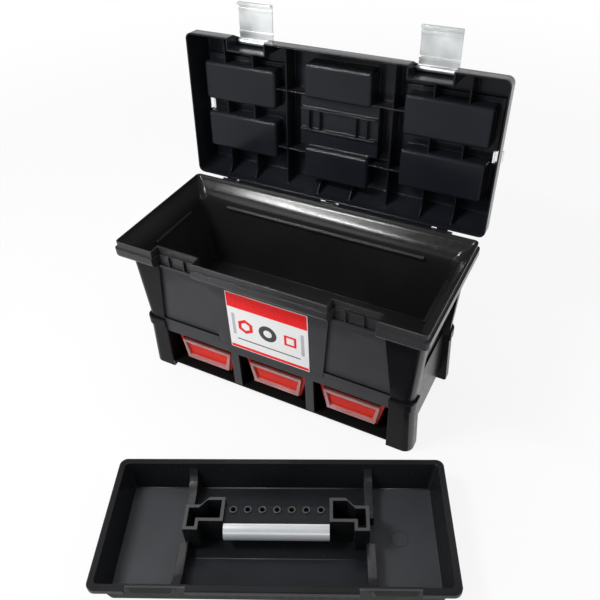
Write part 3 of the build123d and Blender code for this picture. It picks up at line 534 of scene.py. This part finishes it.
def cut_tray_floor(form):
    """Lines on the tray's floor where its grained fields end."""
    lines = (
        ((0.0, FRONT_FLOOR_Y), (0.0, 1.0)),
        ((0.0, BEHIND_RACK_Y), (0.0, 1.0)),
        ((END_FLOOR_X, 0.0), (1.0, 0.0)),
        ((-END_FLOOR_X, 0.0), (1.0, 0.0)),
    )
    for place, way in lines:
        floor = [f for f in form.faces if lies_at(f, TRAY_FLOOR, LEVEL)]
        bmesh.ops.bisect_plane(
            form, geom=parts_of(floor), plane_co=TRAY_PLACE @ Vector((*place, 0.0)),
            plane_no=TRAY_PLACE.to_3x3() @ Vector((*way, 0.0)),
        )


def tray_finish(face):
    """Finish of a face of the tray, grained on the end floors and in the middle fields, darker in the
    middle fields and under the handle as painted shade.
    """
    place = TRAY_PLACE.inverted() @ face.calc_center_median()
    normal = face.normal
    turn = TRAY_PLACE.to_3x3()
    if lies_at(face, TRAY_FLOOR, LEVEL):
        if abs(place.x) > END_FLOOR_X:
            return floor_black
        # The middle fields take the painted shade; the strip under the handle keeps the smooth dark
        # wall finish, painted shade too.
        return field_shade_black if place.y > BEHIND_RACK_Y or place.y < FRONT_FLOOR_Y else wall_black
    if abs(abs(place.x) - RIDGE_X) < RIDGE_HALF + NEAR and TRAY_FLOOR < place.z < TRAY_RIM:
        if abs(normal.dot(turn @ Vector((1.0, 0.0, 0.0)))) < RIDGE_END_ON:
            return ridge_black if normal.z > RIDGE_LEAN else wall_black
    outward = normal.dot(turn @ Vector((place.x, place.y, 0.0))) > 0.0
    if place.z > TRAY_RIM and (outward or normal.z > LEANING):
        return rim_black if normal.z > -LEANING else outer_black
    return outer_black if outward else wall_black


def handle_finish(face):
    """Finish of a face of the tray's handle, with a painted highlight on the rims of its cups."""
    return cup_highlight_black if lies_at(face, CUP_TOP, NEARLY_LEVEL) else wall_black


finish_solid(
    "tub", smooth_black, inner_black, panel_black, flange_sheen_black, end_sheen_black, ledge_highlight_black, shade_black,
    choose=tub_finish,
)
finish_solid("base_frame", smooth_black, apron_black, bay_shade_black, end_sheen_black, choose=base_finish)
finish_solid("lid_shell", top_black, lid_black, choose=lid_finish, cut=soften_boxes)
finish_solid("carry_handle", smooth_black)
finish_solid(
    "tray_shell", wall_black, rim_black, floor_black, field_shade_black, ridge_black, outer_black,
    choose=tray_finish, cut=cut_tray_floor,
)
finish_solid("tray_handle", wall_black, cup_highlight_black, choose=handle_finish)
finish_solid("tray_grip_plate", grip_metal)
finish_solid("front_label", film_white)
finish_solid("base_screws", fastener_steel)
finish_solid("lid_hinge_pins", fastener_steel)
for side in ("left", "right"):
    finish_solid("cover_" + side, cover_clear)
    finish_solid("latch_" + side, latch_metal)
    finish_solid("latch_pin_" + side, fastener_steel)
for drawer in ("left", "centre", "right"):
    finish_solid("drawer_bin_" + drawer, drawer_red)
    finish_solid("drawer_frame_" + drawer, holder_clear)


# New pieces

def add_piece(name, form, body, material):
    """A new piece from its finished form."""
    mesh = bpy.data.meshes.new(name)
    form.to_mesh(mesh)
    form.free()
    mesh.materials.append(material)
    piece = bpy.data.objects.new(name, mesh)
    scene.collection.objects.link(piece)
    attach(piece, body)


def raise_faces(form, faces, place, height):
    """Give flat faces a height and set them in their place."""
    lifted = bmesh.ops.extrude_face_region(form, geom=faces)["geom"]
    top = [v for v in lifted if isinstance(v, bmesh.types.BMVert)]
    bmesh.ops.translate(form, vec=(0.0, 0.0, height), verts=top)
    moved = {v for f in faces for v in f.verts} | set(top)
    bmesh.ops.transform(form, matrix=place, verts=list(moved))


def raise_ring(form, place, height, outer, inner, sides, turn=0.0):
    """A flat ring or frame of one height."""
    edges = []
    for radius in (outer, inner):
        made = bmesh.ops.create_circle(form, segments=sides, radius=radius)
        bmesh.ops.rotate(form, matrix=Matrix.Rotation(turn, 3, "Z"), verts=made["verts"])
        edges += list({e for v in made["verts"] for e in v.link_edges})
    faces = bmesh.ops.bridge_loops(form, edges=edges)["faces"]
    raise_faces(form, faces, place, height)


# Prints on the front label, placed in shares of its half width and half height from its middle

label_low, label_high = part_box("front_label")
LABEL_CENTRE = (label_low + label_high) / 2
LABEL_SIZE = label_high - label_low
PRINT_THICK = 0.00012
PRINT_SINK = 0.00005
BAND_WIDTH = LABEL_SIZE.x * 0.985
BAND_CORNER = 0.001
RINGS_UP = -0.10
SIDE_RING = 0.56
SIDE_BAR = 0.86


def on_label(across, up):
    """Place on the label's face."""
    return Matrix.Translation((
        LABEL_CENTRE.x + across * LABEL_SIZE.x / 2, label_low.y + PRINT_SINK,
        LABEL_CENTRE.z + up * LABEL_SIZE.z / 2,
    )) @ Matrix.Rotation(math.radians(90), 4, "X")


def print_patch(form, across, up, width, height, corner):
    """A thin printed patch with rounded corners."""
    before = set(form.faces)
    verts = bmesh.ops.create_grid(form, x_segments=1, y_segments=1, size=0.5)["verts"]
    bmesh.ops.scale(form, vec=(width, height, 1.0), verts=verts)
    bmesh.ops.bevel(
        form, geom=verts, offset=corner, offset_type="OFFSET", affect="VERTICES", segments=4,
        profile=0.5, material=-1,
    )
    raise_faces(form, [f for f in form.faces if f not in before], on_label(across, up), PRINT_THICK)


def print_ring(form, across, outer, inner, sides, turn=0.0):
    """A thin printed ring or frame."""
    raise_ring(form, on_label(across, RINGS_UP), PRINT_THICK, outer, inner, sides, turn)


def add_print(name, form, material):
    """A print as a piece of its own."""
    bmesh.ops.recalc_face_normals(form, faces=form.faces)
    add_piece(name, form, "box", material)


red_print = bmesh.new()
print_patch(red_print, 0.0, 0.74, BAND_WIDTH, LABEL_SIZE.z * 0.245, BAND_CORNER)
print_patch(red_print, 0.0, -0.93, BAND_WIDTH, LABEL_SIZE.z * 0.05, BAND_CORNER)
print_ring(red_print, -SIDE_RING, outer=0.016, inner=0.009, sides=6)
print_ring(red_print, SIDE_RING, outer=0.016, inner=0.010, sides=4, turn=math.radians(45))
add_print("label_red_print", red_print, print_red)

dark_print = bmesh.new()
print_ring(dark_print, 0.0, outer=0.017, inner=0.008, sides=40)
print_patch(dark_print, 0.0, -0.62, width=LABEL_SIZE.x * 0.80, height=0.0022, corner=0.0008)
add_print("label_dark_print", dark_print, print_dark)

grey_print = bmesh.new()
for across in (-SIDE_BAR, SIDE_BAR):
    print_patch(grey_print, across, RINGS_UP, width=0.006, height=0.048, corner=0.002)
add_print("label_grey_print", grey_print, print_grey)


# Trim on the tray: the ring that the moulding tool leaves, the rack's collars and the floor's beads

gate_ring = bmesh.new()
wire = bmesh.ops.create_circle(gate_ring, segments=8, radius=GATE_WIRE)["verts"]
bmesh.ops.rotate(gate_ring, matrix=Matrix.Rotation(math.radians(90), 3, "X"), verts=wire)
bmesh.ops.scale(gate_ring, vec=(1.0, 1.0, GATE_FLATNESS), verts=wire)
bmesh.ops.translate(gate_ring, vec=(GATE_RADIUS, 0.0, 0.0), verts=wire)
bmesh.ops.spin(
    gate_ring, geom=gate_ring.verts[:] + gate_ring.edges[:], cent=(0.0, 0.0, 0.0),
    axis=(0.0, 0.0, 1.0), angle=math.radians(360), steps=48, use_merge=True,
)
bmesh.ops.recalc_face_normals(gate_ring, faces=gate_ring.faces)
for face in gate_ring.faces:
    face.smooth = True
gate_place = TRAY_PLACE @ Matrix.Translation((*GATE_SPOT, TRAY_FLOOR))
bmesh.ops.transform(gate_ring, matrix=gate_place, verts=gate_ring.verts)
add_piece("tray_gate_right", gate_ring, "tray", floor_black)

rack_collars = bmesh.new()
for hole in range(RACK_HOLES):
    along = (hole - RACK_HOLES // 2) * RACK_PITCH
    spot = TRAY_PLACE @ Matrix.Translation((along, RACK_Y, RACK_TOP - COLLAR_SINK))
    raise_ring(rack_collars, spot, COLLAR_HEIGHT, COLLAR_OUTER, COLLAR_INNER, sides=32)
bmesh.ops.recalc_face_normals(rack_collars, faces=rack_collars.faces)
upper = [e for e in rack_collars.edges if all(v.co.z > RACK_TOP for v in e.verts)]
bmesh.ops.bevel(
    rack_collars, geom=[e for e in upper if e.calc_face_angle() > COLLAR_CREASE], offset=COLLAR_EDGE,
    offset_type="OFFSET", affect="EDGES", segments=3, profile=0.5, material=-1,
)
for face in rack_collars.faces:
    face.smooth = face.normal.z < COLLAR_LEVEL
# The collars' pale tone is a painted highlight.
add_piece("rack_collars", rack_collars, "tray", cup_highlight_black)


def lay_bead(form, left, right, along, radius):
    """A thin round bead moulded along the tray's floor."""
    first = TRAY_PLACE @ Vector((left, along, TRAY_FLOOR))
    second = TRAY_PLACE @ Vector((right, along, TRAY_FLOOR))
    way = second - first
    turn = way.to_track_quat("Z", "Y").to_matrix().to_4x4()
    bmesh.ops.create_cone(
        form, cap_ends=True, segments=16, radius1=radius, radius2=radius, depth=way.length,
        matrix=Matrix.Translation((first + second) / 2) @ turn,
    )


beads = bmesh.new()
for left, right in REAR_BEAD_SPANS:
    lay_bead(beads, left, right, REAR_BEAD_Y, REAR_BEAD_RADIUS)
lay_bead(beads, -FRONT_BEAD_HALF, FRONT_BEAD_HALF, FRONT_FLOOR_Y, FRONT_BEAD_RADIUS)
for face in beads.faces:
    face.smooth = len(face.verts) == 4
# The beads' pale tone is a painted highlight.
add_piece("tray_floor_beads", beads, "tray", cup_highlight_black)


# Floor, light and camera

FLOOR_HALF = 6.0
FLOOR_TONE = 0.86
FLOOR_ROUGHNESS = 0.9
GLOW_DISTANCES = (0.8, 2.4)
GLOW_SHARES = (0.86, 1.0)
WHITE = (1.0, 1.0, 1.0, 1.0)
AMBIENT = 0.40
CEILING = 0.10
CEILING_HEIGHTS = (0.20, 0.60)
STRIP_AIM = (-0.40, 0.10, 0.27)

# Camera fitted to the photograph, its focal length in pixels of the picture
CAMERA_PLACE = (0.44818, -0.78632, 0.92925)
CAMERA_AZIMUTH = math.radians(29.34)
CAMERA_HEIGHT = math.radians(40.27)
CAMERA_ROLL = math.radians(-2.91)
FOCAL_PIXELS = 668.24
PICTURE_PIXELS = 600.0
SENSOR_WIDTH = 36.0


def joined(tree, kind, first, second):
    """Two values put together by one sum."""
    node = tree.nodes.new("ShaderNodeMath")
    node.operation = kind
    tree.links.new(first, node.inputs[0])
    tree.links.new(second, node.inputs[1])
    return node.outputs["Value"]


def mixed(tree, factor, first, second):
    """Two surfaces mixed by a factor."""
    mix = tree.nodes.new("ShaderNodeMixShader")
    tree.links.new(factor, mix.inputs["Fac"])
    tree.links.new(first, mix.inputs[1])
    tree.links.new(second, mix.inputs[2])
    return mix.outputs["Shader"]


def background_rays(tree):
    """Rays that see the background straight or through clear plastic, and these with those in gloss."""
    path = tree.nodes.new("ShaderNodeLightPath")
    rays = path.outputs
    straight = joined(tree, "MAXIMUM", rays["Is Camera Ray"], rays["Is Transmission Ray"])
    return straight, joined(tree, "MAXIMUM", straight, rays["Is Glossy Ray"])


def lay_floor():
    """White floor that keeps a soft shadow and fades into the background far off."""
    form = bmesh.new()
    bmesh.ops.create_grid(form, x_segments=1, y_segments=1, size=FLOOR_HALF)
    mesh = bpy.data.meshes.new("floor")
    form.to_mesh(mesh)
    form.free()
    floor = bpy.data.objects.new("floor", mesh)
    scene.collection.objects.link(floor)
    material, tree, shader = fresh_material("pale_floor")
    shader.inputs["Base Color"].default_value = (FLOOR_TONE, FLOOR_TONE, FLOOR_TONE, 1.0)
    shader.inputs["Roughness"].default_value = FLOOR_ROUGHNESS
    glow = tree.nodes.new("ShaderNodeEmission")
    coords = tree.nodes.new("ShaderNodeTexCoord")
    far = tree.nodes.new("ShaderNodeVectorMath")
    far.operation = "LENGTH"
    tree.links.new(coords.outputs["Object"], far.inputs[0])
    fade = ranged(tree, far.outputs["Value"], GLOW_DISTANCES, GLOW_SHARES, "SMOOTHSTEP")
    share = joined(tree, "MULTIPLY", background_rays(tree)[1], fade)
    surface = mixed(tree, share, shader.outputs["BSDF"], glow.outputs["Emission"])
    tree.links.new(surface, tree.nodes["Material Output"].inputs["Surface"])
    mesh.materials.append(material)


def light_world():
    """Even studio light, with a background that is white apart from a dark ceiling in reflections."""
    world = bpy.data.worlds.new("studio")
    world.use_nodes = True
    scene.world = world
    tree = world.node_tree
    light = tree.nodes["Background"]
    light.inputs["Color"].default_value = WHITE
    light.inputs["Strength"].default_value = AMBIENT
    shown = tree.nodes.new("ShaderNodeBackground")
    shown.inputs["Color"].default_value = WHITE
    coords = tree.nodes.new("ShaderNodeTexCoord")
    split = tree.nodes.new("ShaderNodeSeparateXYZ")
    tree.links.new(coords.outputs["Generated"], split.inputs["Vector"])
    walls = ranged(tree, split.outputs["Z"], CEILING_HEIGHTS, (1.0, CEILING), "SMOOTHSTEP")
    straight, seen = background_rays(tree)
    tree.links.new(joined(tree, "MAXIMUM", straight, walls), shown.inputs["Strength"])
    surface = mixed(tree, seen, light.outputs["Background"], shown.outputs["Background"])
    tree.links.new(surface, tree.nodes["World Output"].inputs["Surface"])


def softbox(name, place, target, width, depth, watts):
    """A rectangular lamp aimed at a place."""
    data = bpy.data.lights.new(name, "AREA")
    data.shape = "RECTANGLE"
    data.size = width
    data.size_y = depth
    data.energy = watts
    lamp = bpy.data.objects.new(name, data)
    scene.collection.objects.link(lamp)
    lamp.location = place
    aim = Vector(target) - Vector(place)
    lamp.rotation_mode = "QUATERNION"
    lamp.rotation_quaternion = aim.to_track_quat("-Z", "Y")
    return lamp


def set_camera():
    """Camera at the photograph's place, turned and rolled as it was."""
    back = Vector((
        math.sin(CAMERA_AZIMUTH) * math.cos(CAMERA_HEIGHT),
        -math.cos(CAMERA_AZIMUTH) * math.cos(CAMERA_HEIGHT),
        math.sin(CAMERA_HEIGHT),
    ))
    level = (-back).cross(Vector((0.0, 0.0, 1.0))).normalized()
    upright = level.cross(-back)
    right = level * math.cos(CAMERA_ROLL) + upright * math.sin(CAMERA_ROLL)
    top = upright * math.cos(CAMERA_ROLL) - level * math.sin(CAMERA_ROLL)
    data = bpy.data.cameras.new("camera")
    data.sensor_width = SENSOR_WIDTH
    data.lens = FOCAL_PIXELS / PICTURE_PIXELS * SENSOR_WIDTH
    camera = bpy.data.objects.new("camera", data)
    scene.collection.objects.link(camera)
    turn = Matrix((right, top, back)).transposed().to_4x4()
    camera.matrix_world = Matrix.Translation(CAMERA_PLACE) @ turn
    scene.camera = camera


lay_floor()
light_world()
softbox("key", (-0.66, -0.80, 1.50), STRIP_AIM, width=0.62, depth=0.08, watts=16.0)
glint = softbox("glint", (-0.66, -0.85, 1.52), STRIP_AIM, width=0.62, depth=0.11, watts=22.0)
glint.visible_diffuse = False
softbox("front_fill", (-0.9, -1.7, 0.9), (0.0, -0.1, 0.15), width=1.0, depth=1.0, watts=10.0)
softbox("right_fill", (1.5, 0.2, 1.0), (0.1, 0.0, 0.15), width=0.8, depth=1.0, watts=6.0)
softbox("top_soft", (-0.35, 0.42, 1.60), (0.10, -0.30, 0.05), width=1.3, depth=0.4, watts=3.0)
set_camera()

scene.view_settings.view_transform = "Standard"
